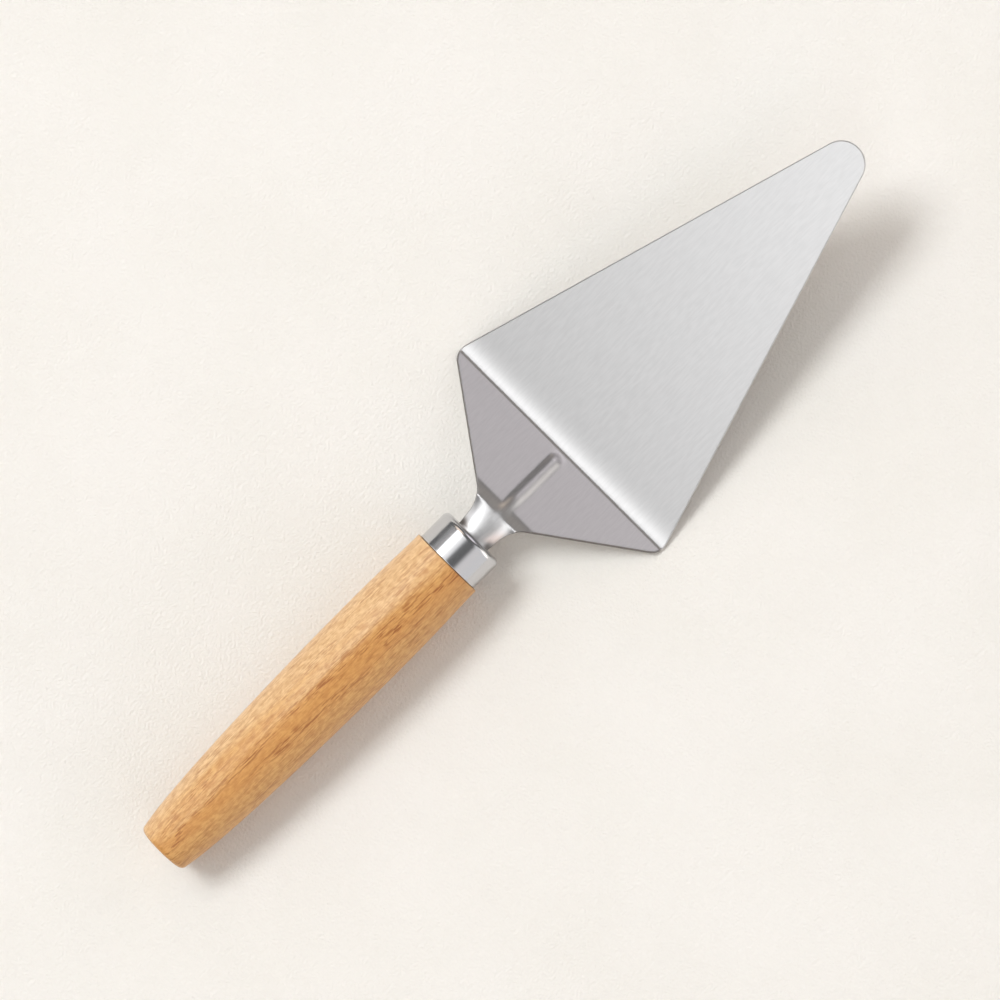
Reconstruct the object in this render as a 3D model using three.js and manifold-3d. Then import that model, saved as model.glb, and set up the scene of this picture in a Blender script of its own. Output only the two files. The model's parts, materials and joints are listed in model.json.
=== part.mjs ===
// A pizza spatula: one stamped steel sheet makes the blade, the cranked riser, the arched neck
// and the tang. The tang is bonded into a turned wooden handle, behind a drawn steel ferrule.
// Lengths are in millimetres, +Z is up and +X points at the tip. The tool lies as it does on a
// table, on the heel of its blade and the belly of its handle.

import * as THREE from "three";
import { mergeVertices } from "three/addons/utils/BufferGeometryUtils.js";
import Module from "manifold-3d";

// Clearance between pieces that meet
const JOINT_GAP = 0.3;

// Blade: a flat triangle that climbs from its heel to a round tip
const SHEET = 1;
const BLADE_LENGTH = 118;
const HEEL_WIDTH = 79.8;
const CORNER_RADIUS = 5.2;
const CORNER_LEAD = 0.9;
const TIP_RADIUS = 6.5;
const BLADE_ANGLE = THREE.MathUtils.degToRad(15.2);

// Heel: the fold between riser and blade, which eases out into the blade
const HEEL_RADIUS = 1.6;
const EASE_LENGTH = 8;
const EASE_ANGLE = THREE.MathUtils.degToRad(11);

// Riser: the sloping piece between the crank at the neck and the heel
const RISER_LENGTH = 26;
const RISER_ANGLE = THREE.MathUtils.degToRad(28);
const CRANK_RADIUS = 8.5;

// Stiffening rib, pressed up along the middle of the riser
const RIB_WIDTH = 5.6;
const RIB_HEIGHT = 0.7;
const RIB_END_RUN = 2.2;
const RIB_FADE = 6;
const RIB_HEEL_GAP = 1;

// Neck: rolled to an arch where it leaves the ferrule, flat again by the crank
const NECK_LENGTH = 10.5;
const NECK_WIDTH = 11;
const NECK_ROLL = THREE.MathUtils.degToRad(50);
const NECK_ROUND_RUN = 0.5;
const UNROLL_RUN = 8.5;
const FLARE_RADIUS = 9;
const FLARE_LEAD = 2.5;

// Tang: the neck runs on into the handle, drawn in by a tapered shoulder
const TANG_LENGTH = 46;
const TANG_WIDTH = 9;
const SHOULDER_RUN = 5;
const GLUE_LINE = 0.3;
const DRILL_POINT = 3;

// Ferrule: a cup with its closed end towards the blade
const FERRULE_LENGTH = 10;
const FERRULE_DIAMETER = 20.2;
const FERRULE_WALL = 0.7;
const FERRULE_ROUND = 1.6;

// Handle: a turned barrel, fattest towards the ferrule
const HANDLE_LENGTH = 110.6;
const BELLY_DIAMETER = 23;
const BELLY_SETBACK = 26.6;
const BELLY_RUN = 44;
const FRONT_DIAMETER = 21.9;
const FRONT_RUN = 14;
const SHOULDER_ROUND = 0.6;
const BUTT_DIAMETER = 16;
const BUTT_ROUND = 1.3;
const BUTT_SWELL = 1.7;
const BUTT_SWELL_RUN = 8;

// Fineness of the faceted surfaces
const ROUND_SEGMENTS = 48;
const GLUE_SEGMENTS = 24;
const PROFILE_STEPS = 7;
const ARC_STEPS = 3;
const BEND_STEPS = 6;
const EASE_STEPS = 6;
const UNROLL_STEPS = 8;
const RIB_STEPS = 4;
const RIB_COLUMNS = 4;
const FLANK_COLUMNS = 7;
const LEAST_STEP = 0.1;
const MERGE_DISTANCE = 0.0001;
const SLOPE_STEP = 0.01;
const STEEPEST_REST = THREE.MathUtils.degToRad(30);
const REST_PRECISION = 1e-7;

const wasm = await Module();
wasm.setup();

// Turns a closed geometry into a solid that can be cut and joined.
function solidOf(geometry) {
  const bare = geometry.clone();
  bare.deleteAttribute("normal");
  bare.deleteAttribute("uv");
  const merged = mergeVertices(bare, MERGE_DISTANCE);
  const vertProperties = new Float32Array(merged.attributes.position.array);
  const triVerts = new Uint32Array(merged.index.array);
  return new wasm.Manifold(new wasm.Mesh({ numProp: 3, vertProperties, triVerts }));
}

// Turns a cut or joined solid back into a geometry.
function geometryOf(solid) {
  const { vertProperties, triVerts } = solid.getMesh();
  return closedGeometry(vertProperties, triVerts);
}

function closedGeometry(positions, triangles) {
  const geometry = new THREE.BufferGeometry();
  geometry.setAttribute("position", new THREE.Float32BufferAttribute(positions, 3));
  geometry.setIndex(Array.from(triangles));
  geometry.computeVertexNormals();
  return geometry;
}

function evenSteps(from, to, count) {
  return Array.from({ length: count + 1 }, (_, i) => from + ((to - from) * i) / count);
}

// The tool's own frame has the handle's axis along X, with x = 0 at the front of the ferrule.
// The sheet is followed by its length from there along its middle, "along".

// Side view of the sheet: straight runs and bends, from the ferrule to the tip
const crankRadius = CRANK_RADIUS + SHEET / 2;
const heelRadius = HEEL_RADIUS + SHEET / 2;
const heelTurn = RISER_ANGLE + BLADE_ANGLE - EASE_ANGLE;
const crankReach = crankRadius * Math.tan(RISER_ANGLE / 2);
const heelReach = heelRadius * Math.tan(heelTurn / 2);
const sideRuns = [
  { length: NECK_LENGTH - crankReach, turn: 0 },
  { length: crankRadius * RISER_ANGLE, turn: -RISER_ANGLE },
  { length: RISER_LENGTH - crankReach - heelReach, turn: 0 },
  { length: heelRadius * heelTurn, turn: heelTurn },
  { length: EASE_LENGTH, turn: EASE_ANGLE },
  { length: BLADE_LENGTH - heelReach - EASE_LENGTH, turn: 0 },
];
const runEnds = sideRuns.map((_, i) => sideRuns.slice(0, i + 1).reduce((sum, run) => sum + run.length, 0));
const [crankStart, crankEnd, heelStart, heelEnd, easeEnd, tipEnd] = runEnds;
const crankMiddle = (crankStart + crankEnd) / 2;
const heelMiddle = (heelStart + heelEnd) / 2;

// Where the middle of the sheet is at a length along it, and which way it heads there
function sideAt(along) {
  let x = Math.min(along, 0);
  let z = 0;
  let heading = 0;
  let left = Math.max(along, 0);
  for (const { length, turn } of sideRuns) {
    const step = Math.min(left, length);
    const turned = (turn * step) / length;
    const chord = turned === 0 ? step : (2 * step * Math.sin(turned / 2)) / turned;
    x += chord * Math.cos(heading + turned / 2);
    z += chord * Math.sin(heading + turned / 2);
    heading += turned;
    left -= step;
  }
  return { x, z, heading };
}

// Outline of the flat blank, one half: length along the sheet against half its width
const neckRadius = NECK_WIDTH / 2 / Math.sin(NECK_ROLL) - SHEET / 2;
const neckHalf = neckRadius * NECK_ROLL;
const tangEnd = -FERRULE_WALL - TANG_LENGTH;
const shoulderFront = -FERRULE_WALL - JOINT_GAP;
const shoulderBack = shoulderFront - SHOULDER_RUN;

function addRoundedCorner(path, before, corner, after, radius) {
  const back = before.clone().sub(corner).normalize();
  const onward = after.clone().sub(corner).normalize();
  const halfAngle = Math.acos(back.dot(onward)) / 2;
  const reach = radius / Math.tan(halfAngle);
  const inward = back.clone().add(onward).normalize();
  const centre = corner.clone().addScaledVector(inward, radius / Math.sin(halfAngle));
  const start = corner.clone().addScaledVector(back, reach).sub(centre).angle();
  const end = corner.clone().addScaledVector(onward, reach).sub(centre).angle();
  path.absarc(centre.x, centre.y, radius, start, end, back.cross(onward) > 0);
}

function blankOutline() {
  const shoulder = new THREE.Vector2(shoulderFront, neckHalf);
  const flare = new THREE.Vector2(crankMiddle - FLARE_LEAD, neckHalf);
  const heel = new THREE.Vector2(heelMiddle - CORNER_LEAD, HEEL_WIDTH / 2);
  const tipCentre = new THREE.Vector2(tipEnd - TIP_RADIUS, 0);
  const toTip = tipCentre.clone().sub(heel);
  const edgeAngle = Math.atan2(toTip.y, toTip.x) + Math.asin(TIP_RADIUS / toTip.length());
  const edgeLength = Math.sqrt(toTip.lengthSq() - TIP_RADIUS ** 2);
  const edgeWay = new THREE.Vector2(Math.cos(edgeAngle), Math.sin(edgeAngle));
  const edgeEnd = heel.clone().addScaledVector(edgeWay, edgeLength);
  const tipAngle = edgeAngle + Math.PI / 2;
  const halfFacet = tipAngle / (4 * ARC_STEPS + 1);

  const outline = new THREE.Path();
  outline.moveTo(tangEnd, TANG_WIDTH / 2);
  outline.lineTo(shoulderBack, TANG_WIDTH / 2);
  outline.lineTo(shoulder.x, shoulder.y);
  addRoundedCorner(outline, shoulder, flare, heel, FLARE_RADIUS);
  addRoundedCorner(outline, flare, heel, edgeEnd, CORNER_RADIUS);
  outline.absarc(tipCentre.x, tipCentre.y, TIP_RADIUS, tipAngle, halfFacet, true);
  return outline.getPoints(ARC_STEPS);
}
const outlinePoints = blankOutline();

function halfWidthAt(along) {
  const next = outlinePoints.findIndex((point) => point.x >= along);
  if (next === 0) {
    return outlinePoints[0].y;
  }
  if (next < 0) {
    return outlinePoints.at(-1).y;
  }
  const a = outlinePoints[next - 1];
  const b = outlinePoints[next];
  return THREE.MathUtils.mapLinear(along, a.x, b.x, a.y, b.y);
}

// How tightly the sheet is rolled at a length along it: an arch in tang and neck, then flat
function curlAt(along) {
  const unrolled = THREE.MathUtils.clamp((along - NECK_ROUND_RUN) / UNROLL_RUN, 0, 1);
  return (1 - unrolled) / neckRadius;
}

const ribStart = crankStart;
const ribEnd = heelStart - RIB_HEEL_GAP;

function ribHeightAt(along, across) {
  const { smoothstep } = THREE.MathUtils;
  const begins = smoothstep(along, ribStart, ribStart + RIB_FADE);
  const ends = 1 - smoothstep(along, ribEnd - RIB_END_RUN, ribEnd);
  const share = Math.min(Math.abs(across) / (RIB_WIDTH / 2), 1);
  return (RIB_HEIGHT * begins * ends * (1 + Math.cos(Math.PI * share))) / 2;
}

// A point on the middle of the sheet
function sheetPoint(along, across) {
  const { x, z, heading } = sideAt(along);
  const curl = curlAt(along);
  const sideways = curl === 0 ? across : Math.sin(curl * across) / curl;
  const fall = curl === 0 ? 0 : (1 - Math.cos(curl * across)) / curl;
  const height = ribHeightAt(along, across) - fall;
  return new THREE.Vector3(x - height * Math.sin(heading), sideways, z + height * Math.cos(heading));
}

function sheetNormal(along, across) {
  const ahead = sheetPoint(along + SLOPE_STEP, across).sub(sheetPoint(along - SLOPE_STEP, across));
  const aside = sheetPoint(along, across + SLOPE_STEP).sub(sheetPoint(along, across - SLOPE_STEP));
  return ahead.cross(aside).normalize();
}

// Lengths along the sheet at which its section is drawn, close together where it bends
function stationsBetween(from, to) {
  const wanted = [
    ...outlinePoints.map((point) => point.x),
    ...evenSteps(crankStart, crankEnd, BEND_STEPS),
    ...evenSteps(heelStart, heelEnd, BEND_STEPS),
    ...evenSteps(heelEnd, easeEnd, EASE_STEPS),
    ...evenSteps(NECK_ROUND_RUN, NECK_ROUND_RUN + UNROLL_RUN, UNROLL_STEPS),
    ...evenSteps(ribStart, ribStart + RIB_FADE, RIB_STEPS),
    ...evenSteps(ribEnd - RIB_END_RUN, ribEnd, RIB_STEPS),
  ];
  const inside = wanted.filter((along) => along > from + LEAST_STEP && along < to - LEAST_STEP);
  const stations = [from];
  for (const along of inside.sort((a, b) => a - b)) {
    if (along - stations.at(-1) > LEAST_STEP) {
      stations.push(along);
    }
  }
  return [...stations, to];
}

// Places across the sheet: close together over the rib, then even out to the edge
function columnsWithin(halfWidth) {
  const ribHalf = Math.min(RIB_WIDTH, halfWidth) / 2;
  const rib = evenSteps(0, ribHalf, RIB_COLUMNS);
  const flank = evenSteps(ribHalf, halfWidth, FLANK_COLUMNS).slice(1);
  const right = [...rib, ...flank];
  const left = right.slice(1).reverse().map((across) => -across);
  return [...left, ...right];
}

// The sheet between two lengths along it, as one closed skin. With grow it is that much larger all round.
function sheetGeometry(from, to, grow) {
  const stations = stationsBetween(from, to);
  const columns = columnsWithin(1).length;
  const layer = stations.length * columns;
  const upper = [];
  const lower = [];
  for (const along of stations) {
    for (const across of columnsWithin(halfWidthAt(along) + grow)) {
      const middle = sheetPoint(along, across);
      const offset = sheetNormal(along, across).multiplyScalar(SHEET / 2 + grow);
      upper.push(...middle.clone().add(offset).toArray());
      lower.push(...middle.clone().sub(offset).toArray());
    }
  }

  const triangles = [];
  const quad = (a, b, c, d) => triangles.push(a, b, c, a, c, d);
  const lastStation = stations.length - 1;
  const lastColumn = columns - 1;
  const top = (i, j) => i * columns + j;
  const bottom = (i, j) => layer + i * columns + j;
  for (let i = 0; i < lastStation; i += 1) {
    for (let j = 0; j < lastColumn; j += 1) {
      quad(top(i, j), top(i + 1, j), top(i + 1, j + 1), top(i, j + 1));
      quad(bottom(i, j), bottom(i, j + 1), bottom(i + 1, j + 1), bottom(i + 1, j));
    }
    quad(top(i, 0), bottom(i, 0), bottom(i + 1, 0), top(i + 1, 0));
    quad(top(i, lastColumn), top(i + 1, lastColumn), bottom(i + 1, lastColumn), bottom(i, lastColumn));
  }
  for (let j = 0; j < lastColumn; j += 1) {
    quad(top(0, j), top(0, j + 1), bottom(0, j + 1), bottom(0, j));
    quad(top(lastStation, j), bottom(lastStation, j), bottom(lastStation, j + 1), top(lastStation, j + 1));
  }
  return closedGeometry([...upper, ...lower], triangles);
}

// Turns a profile of radius against x about the X axis, with a flat facet underneath.
function turnedGeometry(profile, segments) {
  const geometry = new THREE.LatheGeometry(profile, segments, Math.PI / segments);
  return geometry.rotateZ(-Math.PI / 2);
}

// Pushes a section drawn in y and z from one x to another.
function pushedGeometry(section, fromX, toX) {
  const geometry = new THREE.ExtrudeGeometry(section, {
    depth: toX - fromX,
    bevelEnabled: false,
    curveSegments: GLUE_SEGMENTS,
  });
  const stand = new THREE.Matrix4().makeBasis(
    new THREE.Vector3(0, 1, 0),
    new THREE.Vector3(0, 0, 1),
    new THREE.Vector3(1, 0, 0),
  );
  return geometry.applyMatrix4(stand).translate(fromX, 0, 0);
}

// The arch's section: its crown lies on the handle's axis, its centre of curvature below it
const neckCentre = -neckRadius;
const neckFeet = neckCentre + (neckRadius - SHEET / 2) * Math.cos(NECK_ROLL);

function archSection(radius, bottom) {
  const start = Math.asin((bottom - neckCentre) / radius);
  const section = new THREE.Shape();
  section.absarc(0, neckCentre, radius, start, Math.PI - start, false);
  section.closePath();
  return section;
}

// How far the edge of the rolled sheet reaches from the handle's axis, at half its flat width
function rolledReach(halfWidth) {
  const angle = halfWidth / neckRadius;
  const radius = neckRadius + SHEET / 2;
  return Math.hypot(radius * Math.sin(angle), neckCentre + radius * Math.cos(angle));
}

// Ferrule
const ferruleRadius = FERRULE_DIAMETER / 2;
const ferruleBore = ferruleRadius - FERRULE_WALL;
const innerRound = Math.max(FERRULE_ROUND - FERRULE_WALL, LEAST_STEP);

function ferruleGeometry() {
  const back = -FERRULE_LENGTH;
  const inside = -FERRULE_WALL;
  const profile = new THREE.Path();
  profile.moveTo(0, inside);
  profile.lineTo(ferruleBore - innerRound, inside);
  profile.quadraticCurveTo(ferruleBore, inside, ferruleBore, inside - innerRound);
  profile.lineTo(ferruleBore, back);
  profile.lineTo(ferruleRadius, back);
  profile.lineTo(ferruleRadius, -FERRULE_ROUND);
  profile.absarc(ferruleRadius - FERRULE_ROUND, -FERRULE_ROUND, FERRULE_ROUND, 0, Math.PI / 2, false);
  profile.lineTo(0, 0);
  const cup = turnedGeometry(profile.getPoints(ARC_STEPS), ROUND_SEGMENTS);
  const slot = archSection(neckRadius + SHEET / 2 + JOINT_GAP, neckFeet - JOINT_GAP);
  const cutter = pushedGeometry(slot, -2 * FERRULE_WALL, FERRULE_WALL);
  return geometryOf(solidOf(cup).subtract(solidOf(cutter)));
}

// Handle, with a spigot for the ferrule and a bore for the tang
const spigotFront = -FERRULE_WALL - JOINT_GAP;
const handleFront = -FERRULE_LENGTH - JOINT_GAP;
const handleBack = handleFront - HANDLE_LENGTH;
const boreRoom = GLUE_LINE + 2 * JOINT_GAP;
const boreMouth = rolledReach(neckHalf) + boreRoom;
const boreRadius = rolledReach(TANG_WIDTH / 2) + boreRoom;
const boreShoulder = shoulderBack - boreRoom;
const boreEnd = tangEnd - boreRoom;

function handleGeometry() {
  const spigot = ferruleBore - JOINT_GAP;
  const butt = BUTT_DIAMETER / 2;
  const belly = BELLY_DIAMETER / 2;
  const front = FRONT_DIAMETER / 2;
  const bellyX = handleFront - BELLY_SETBACK;
  const profile = new THREE.Path();
  profile.moveTo(0, handleBack);
  profile.lineTo(butt - BUTT_ROUND, handleBack);
  profile.quadraticCurveTo(butt, handleBack, butt, handleBack + BUTT_ROUND);
  profile.bezierCurveTo(
    butt + BUTT_SWELL,
    handleBack + BUTT_ROUND + BUTT_SWELL_RUN,
    belly,
    bellyX - BELLY_RUN,
    belly,
    bellyX,
  );
  profile.bezierCurveTo(
    belly,
    bellyX + FRONT_RUN,
    front,
    handleFront - FRONT_RUN / 2,
    front,
    handleFront - SHOULDER_ROUND,
  );
  profile.quadraticCurveTo(front, handleFront, front - SHOULDER_ROUND, handleFront);
  profile.lineTo(spigot, handleFront);
  profile.lineTo(spigot, spigotFront - innerRound);
  profile.lineTo(spigot - innerRound, spigotFront);
  profile.lineTo(boreMouth, spigotFront);
  profile.lineTo(boreRadius, boreShoulder);
  profile.lineTo(boreRadius, boreEnd);
  profile.lineTo(0, boreEnd - DRILL_POINT);
  return turnedGeometry(profile.getPoints(PROFILE_STEPS), ROUND_SEGMENTS);
}

// Glue: fills the bore round the tang, and the neck's channel out to the face of the ferrule
function glueGeometry() {
  const profile = [
    new THREE.Vector2(0, boreEnd - DRILL_POINT + JOINT_GAP),
    new THREE.Vector2(boreRadius - JOINT_GAP, boreEnd + JOINT_GAP),
    new THREE.Vector2(boreRadius - JOINT_GAP, boreShoulder),
    new THREE.Vector2(boreMouth - JOINT_GAP, spigotFront),
    new THREE.Vector2(0, spigotFront),
  ];
  const plug = turnedGeometry(profile, GLUE_SEGMENTS);
  const noseSection = archSection(neckRadius - SHEET / 2, neckFeet);
  const nose = pushedGeometry(noseSection, spigotFront - JOINT_GAP, -JOINT_GAP);
  const room = sheetGeometry(tangEnd - JOINT_GAP, NECK_ROUND_RUN, JOINT_GAP);
  return geometryOf(solidOf(plug).add(solidOf(nose)).subtract(solidOf(room)));
}

const brushedSteel = new THREE.MeshStandardMaterial({ color: 0xcbcccd, roughness: 0.4, metalness: 1 });
const polishedSteel = new THREE.MeshStandardMaterial({ color: 0xdadbdd, roughness: 0.12, metalness: 1 });
const oiledWood = new THREE.MeshStandardMaterial({ color: 0xcf9a5b, roughness: 0.55, metalness: 0 });
const clearGlue = new THREE.MeshStandardMaterial({ color: 0xb9a77f, roughness: 0.3, metalness: 0 });

function named(name, geometry, material) {
  const mesh = new THREE.Mesh(geometry, material);
  mesh.name = name;
  return mesh;
}

const blade = named("blade", sheetGeometry(tangEnd, outlinePoints.at(-1).x, 0), brushedSteel);
const ferrule = named("ferrule", ferruleGeometry(), polishedSteel);
const handle = named("handle", handleGeometry(), oiledWood);
const glue = named("tang_glue", glueGeometry(), clearGlue);

// Lowest point of a mesh once the tool is turned about Y by an angle
function lowestAt(mesh, angle) {
  const places = mesh.geometry.attributes.position;
  let lowest = Infinity;
  for (let i = 0; i < places.count; i += 1) {
    lowest = Math.min(lowest, places.getZ(i) * Math.cos(angle) - places.getX(i) * Math.sin(angle));
  }
  return lowest;
}

// The angle at which heel and handle lie on the same table, found by halving
function restAngle() {
  let low = -STEEPEST_REST;
  let high = STEEPEST_REST;
  while (high - low > REST_PRECISION) {
    const middle = (low + high) / 2;
    if (lowestAt(handle, middle) < lowestAt(blade, middle)) {
      low = middle;
    } else {
      high = middle;
    }
  }
  return (low + high) / 2;
}

const tool = new THREE.Group();
tool.add(blade, ferrule, handle, glue);
tool.rotation.y = restAngle();
tool.updateMatrixWorld(true);

// The origin is on the table, under the middle of the tool.
const spatula = new THREE.Group();
const box = new THREE.Box3().setFromObject(tool, true);
const middle = box.getCenter(new THREE.Vector3());
tool.position.set(-middle.x, -middle.y, -box.min.z);
spatula.add(tool);
spatula.updateMatrixWorld(true);

export default spatula;
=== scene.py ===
"""A pizza spatula dressed for a studio picture.

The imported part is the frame. Blade, ferrule and handle are drawn again here, finely, from the part's
own sizes, apart from the rib and the handle's rounded edges, which follow the real tool more closely.
They are drawn in millimetres, in the tool's own frame, where X runs along the handle's axis towards
the tip and x = 0 is the front of the ferrule. Then the tool is laid on the table, in metres.
"""

import json
import logging
import math
from abc import ABC, abstractmethod
from collections.abc import Mapping, Sequence
from dataclasses import dataclass, field
from enum import Enum
from functools import cache, cached_property
from typing import Any

import bpy
import numpy as np
from mathutils import Matrix, Vector


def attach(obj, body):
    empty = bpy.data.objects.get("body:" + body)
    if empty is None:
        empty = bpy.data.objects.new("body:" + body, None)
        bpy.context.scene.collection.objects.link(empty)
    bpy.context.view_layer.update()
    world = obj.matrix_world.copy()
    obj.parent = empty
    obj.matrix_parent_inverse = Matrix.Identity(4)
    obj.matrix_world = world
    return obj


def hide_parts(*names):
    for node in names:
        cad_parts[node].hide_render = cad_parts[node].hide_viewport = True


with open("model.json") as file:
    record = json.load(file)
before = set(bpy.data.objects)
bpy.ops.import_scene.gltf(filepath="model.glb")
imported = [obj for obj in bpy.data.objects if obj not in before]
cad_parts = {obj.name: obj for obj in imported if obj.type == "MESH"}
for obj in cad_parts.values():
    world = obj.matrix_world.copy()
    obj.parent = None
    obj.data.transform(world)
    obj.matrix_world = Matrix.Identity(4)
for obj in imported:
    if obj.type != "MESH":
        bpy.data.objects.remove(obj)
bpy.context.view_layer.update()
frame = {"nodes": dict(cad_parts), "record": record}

log = logging.getLogger("pizza_spatula")

MILLIMETRE = 0.001
ROOT_BODY = "root"
SHEET_MAP = "Sheet"
# Name of the mask of the darker steel tone: the cut edge, and painted shade on the neck's flanks beside
# the ferrule.
EDGE_AND_SHADE_MASK = "Raw"
MOTTLE_DETAIL = 3.0
SCREEN_FULL = 255.0
SCREEN_TOE = 0.04045
SCREEN_TOE_SLOPE = 12.92
SCREEN_OFFSET = 0.055
SCREEN_POWER = 2.4

Rgb = tuple[float, float, float]
ScreenRgb = tuple[int, int, int]
Point = tuple[float, float]


class Node(Enum):
    """The part's nodes."""

    BLADE = "blade"
    FERRULE = "ferrule"
    HANDLE = "handle"
    GLUE = "tang_glue"


class Slot(Enum):
    """The record's material slots."""

    BLADE = "brushed_steel"
    FERRULE = "polished_steel"
    HANDLE = "oiled_wood"
    GLUE = "clear_glue"


def smoothstep(value: np.ndarray, low: float, high: float) -> np.ndarray:
    """Rises smoothly from 0 at low to 1 at high.

    Args:
        value: where to look.
        low: start of the rise.
        high: end of the rise.

    Returns:
        A share from 0 to 1 for each value.
    """
    share = np.clip((value - low) / (high - low), 0.0, 1.0)
    return share * share * (3.0 - 2.0 * share)


def linear(red: int, green: int, blue: int) -> tuple[float, float, float, float]:
    """Turns a screen colour into the linear one that shaders take, by the usual screen curve.

    Args:
        red: from 0 to 255.
        green: from 0 to 255.
        blue: from 0 to 255.

    Returns:
        Linear red, green and blue, and a full alpha.
    """

    def bright(channel: int) -> float:
        """Finds the light that a channel stands for."""
        share = channel / SCREEN_FULL
        if share <= SCREEN_TOE:
            return share / SCREEN_TOE_SLOPE
        return ((share + SCREEN_OFFSET) / (1.0 + SCREEN_OFFSET)) ** SCREEN_POWER

    return (bright(red), bright(green), bright(blue), 1.0)


class Graph:
    """A node tree, with short ways to add nodes and join them."""

    MIX_INPUTS = (0, 6, 7)
    MIX_OUTPUT = 2

    def __init__(self, tree: bpy.types.NodeTree) -> None:
        """Keeps the tree that nodes are added to."""
        self.tree = tree

    def node(self, kind: str, inputs: Mapping[Any, Any] | None = None, **settings: Any) -> bpy.types.Node:
        """Adds a node.

        Args:
            kind: Blender's name for the kind of node.
            inputs: values, or sockets to join, by input name or number.
            **settings: the node's own properties.

        Returns:
            The new node.
        """
        made = self.tree.nodes.new(kind)
        for name, value in settings.items():
            setattr(made, name, value)
        self.fill(made, inputs or {})
        return made

    def fill(self, node: bpy.types.Node, inputs: Mapping[Any, Any]) -> None:
        """Joins a node's inputs to output sockets, or sets their plain values.

        Args:
            node: the node.
            inputs: values, or sockets to join, by input name or number.
        """
        for key, value in inputs.items():
            if isinstance(value, bpy.types.NodeSocket):
                self.tree.links.new(value, node.inputs[key])
            else:
                node.inputs[key].default_value = value

    def math(self, operation: str, *values: Any) -> bpy.types.NodeSocket:
        """Adds a Math node and returns its result."""
        return self.node("ShaderNodeMath", dict(enumerate(values)), operation=operation).outputs[0]

    def vector(self, operation: str, *values: Any) -> bpy.types.NodeSocket:
        """Adds a Vector Math node and returns its vector."""
        return self.node("ShaderNodeVectorMath", dict(enumerate(values)), operation=operation).outputs[0]

    def point(self, x: Any, y: Any, z: Any = 0.0) -> bpy.types.NodeSocket:
        """Adds a Combine XYZ node and returns its vector."""
        return self.node("ShaderNodeCombineXYZ", {"X": x, "Y": y, "Z": z}).outputs[0]

    def between(
        self, value: Any, low: Any, high: Any, start: Any = 0.0, end: Any = 1.0
    ) -> bpy.types.NodeSocket:
        """Maps a value from one range to another, smoothly and within the second range.

        Args:
            value: what is mapped.
            low: the value that gives start.
            high: the value that gives end.
            start: the result at low.
            end: the result at high.

        Returns:
            The mapped value.
        """
        places = dict(enumerate((value, low, high, start, end)))
        return self.node("ShaderNodeMapRange", places, interpolation_type="SMOOTHSTEP").outputs[0]

    def blend(self, share: Any, first: Any, second: Any) -> bpy.types.NodeSocket:
        """Mixes two colours.

        Args:
            share: how much of the second colour there is.
            first: a colour.
            second: a colour.

        Returns:
            The mixed colour.
        """
        inputs = dict(zip(self.MIX_INPUTS, (share, first, second)))
        return self.node("ShaderNodeMix", inputs, data_type="RGBA").outputs[self.MIX_OUTPUT]

    def relief(self, height: Any, depth: float) -> bpy.types.NodeSocket:
        """Adds a Bump node.

        Args:
            height: the pattern that stands up.
            depth: how far it stands up, in millimetres.

        Returns:
            The bumped normal.
        """
        inputs = {"Height": height, "Distance": depth * MILLIMETRE}
        return self.node("ShaderNodeBump", inputs).outputs["Normal"]

    def group(self, tree: bpy.types.NodeTree, inputs: Mapping[str, Any]) -> bpy.types.NodeSocket:
        """Places a node group.

        Args:
            tree: the group.
            inputs: values, or sockets to join, by the names of its inputs.

        Returns:
            The group's only output.
        """
        kind = "ShaderNodeGroup" if tree.bl_idname == "ShaderNodeTree" else "GeometryNodeGroup"
        return self.node(kind, inputs, node_tree=tree).outputs[0]


def new_group(name: str, kind: str, inputs: Mapping[str, str], outputs: Mapping[str, str]) -> Graph:
    """Makes an empty node group with named sockets.

    Args:
        name: the group's name.
        kind: Blender's name for the kind of tree.
        inputs: socket kinds by input name.
        outputs: socket kinds by output name.

    Returns:
        The group's graph, which holds its Group Input and Group Output nodes.
    """
    tree = bpy.data.node_groups.new(name, kind)
    for in_out, sockets in (("INPUT", inputs), ("OUTPUT", outputs)):
        for socket_name, socket_kind in sockets.items():
            tree.interface.new_socket(socket_name, in_out=in_out, socket_type=f"NodeSocket{socket_kind}")
    graph = Graph(tree)
    graph.node("NodeGroupInput")
    graph.node("NodeGroupOutput")
    return graph


@cache
def streaks_group() -> bpy.types.NodeTree:
    """Makes the shader group for lines drawn out along X: brushing, buffing marks and wood grain."""
    graph = new_group(
        "Streaks",
        "ShaderNodeTree",
        {"Vector": "Vector", "Length": "Float", "Width": "Float", "Detail": "Float"},
        {"Value": "Float"},
    )
    given, result = graph.tree.nodes
    across = graph.math("DIVIDE", 1.0, given.outputs["Width"])
    along = graph.math("DIVIDE", 1.0, given.outputs["Length"])
    drawn = graph.vector("MULTIPLY", given.outputs["Vector"], graph.point(along, across, across))
    inputs = {"Vector": drawn, "Scale": 1.0, "Detail": given.outputs["Detail"]}
    noise = graph.node("ShaderNodeTexNoise", inputs)
    graph.fill(result, {"Value": noise.outputs[0]})
    return graph.tree


@cache
def mottle_group() -> bpy.types.NodeTree:
    """Makes the shader group for soft patches: handling marks, bubbles in glue, trowel marks and grit."""
    graph = new_group(
        "Mottle",
        "ShaderNodeTree",
        {"Vector": "Vector", "Size": "Float", "Low": "Float", "High": "Float"},
        {"Value": "Float"},
    )
    given, result = graph.tree.nodes
    scale = graph.math("DIVIDE", 1.0, given.outputs["Size"])
    inputs = {"Vector": given.outputs["Vector"], "Scale": scale, "Detail": MOTTLE_DETAIL}
    noise = graph.node("ShaderNodeTexNoise", inputs)
    value = graph.between(noise.outputs[0], given.outputs["Low"], given.outputs["High"])
    graph.fill(result, {"Value": value})
    return graph.tree


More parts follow.
